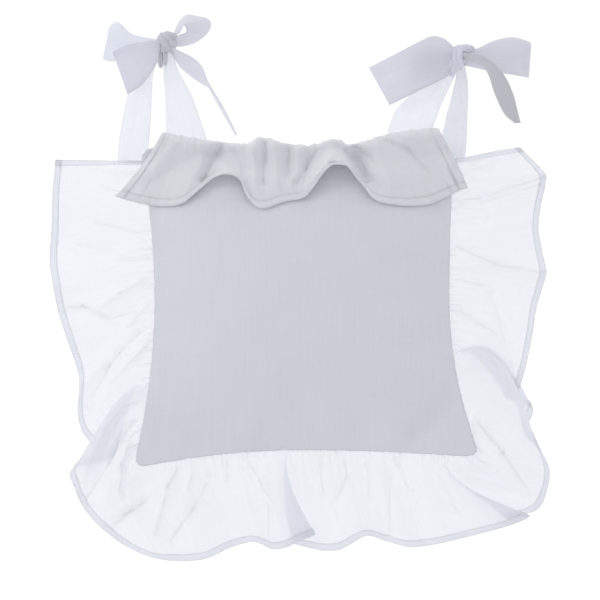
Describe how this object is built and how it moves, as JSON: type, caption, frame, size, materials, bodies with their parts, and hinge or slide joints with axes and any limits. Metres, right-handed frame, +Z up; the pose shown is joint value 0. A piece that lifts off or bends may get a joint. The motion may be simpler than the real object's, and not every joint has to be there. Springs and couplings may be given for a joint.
{
  "type": "ring bearer pillow",
  "caption": "Small square white cloth pillow with a gathered frill round three sides, a folded-down top frill and tie bows on straps at the top corners.",
  "frame": {"origin": "middle of the flat patch that the back rests on", "axes": "+Z up through the front of the pillow, +Y towards the bows, +X to the right seen from the front"},
  "size_m": [0.3151, 0.345, 0.0575],
  "materials": {
    "cushion_cloth": "matt plain weave",
    "sheer_frill_cloth": "matt sheer plain weave",
    "tie_cloth": "matt sheer plain weave",
    "filling": "soft fibre"
  },
  "bodies": {
    "pillow": {"front_panel": "cushion_cloth", "back_panel": "cushion_cloth", "fill_pad": "filling", "outer_frill": "sheer_frill_cloth", "top_frill_heading": "sheer_frill_cloth"},
    "top_frill": {"top_frill": "sheer_frill_cloth"},
    "left_bow": {"left_outer_strap": "tie_cloth", "left_inner_strap": "tie_cloth", "left_knot": "tie_cloth", "left_bow_back_loop": "tie_cloth", "left_bow_right_loop": "tie_cloth", "left_bow_front_tail": "tie_cloth"},
    "left_tail": {"left_bow_hanging_tail": "tie_cloth"},
    "right_bow": {"right_inner_strap": "tie_cloth", "right_outer_strap": "tie_cloth", "right_knot": "tie_cloth", "right_bow_back_loop": "tie_cloth", "right_bow_right_loop": "tie_cloth", "right_bow_front_tail": "tie_cloth"},
    "right_tail": {"right_bow_hanging_tail": "tie_cloth"}
  },
  "joints": [
    {"name": "top_frill_fold", "type": "hinge", "parent": "pillow", "child": "top_frill", "pos_m": [0, 0.101, 0.037], "axis": [-1, 0, 0], "range_deg": [0, 110]},
    {"name": "left_bow_lift", "type": "hinge", "parent": "pillow", "child": "left_bow", "pos_m": [-0.0856, 0.0985, 0.0246], "axis": [1, 0, 0], "range_deg": [-40, 30]},
    {"name": "right_bow_lift", "type": "hinge", "parent": "pillow", "child": "right_bow", "pos_m": [0.0985, 0.0985, 0.0246], "axis": [1, 0, 0], "range_deg": [-40, 30]},
    {"name": "left_tail_swing", "type": "hinge", "parent": "left_bow", "child": "left_tail", "pos_m": [-0.0856, 0.16, 0.0068], "axis": [0, 0, 1], "range_deg": [0, 15]},
    {"name": "right_tail_swing", "type": "hinge", "parent": "right_bow", "child": "right_tail", "pos_m": [0.0985, 0.1504, 0.0068], "axis": [0, 0, 1], "range_deg": [-15, 10]}
  ]
}
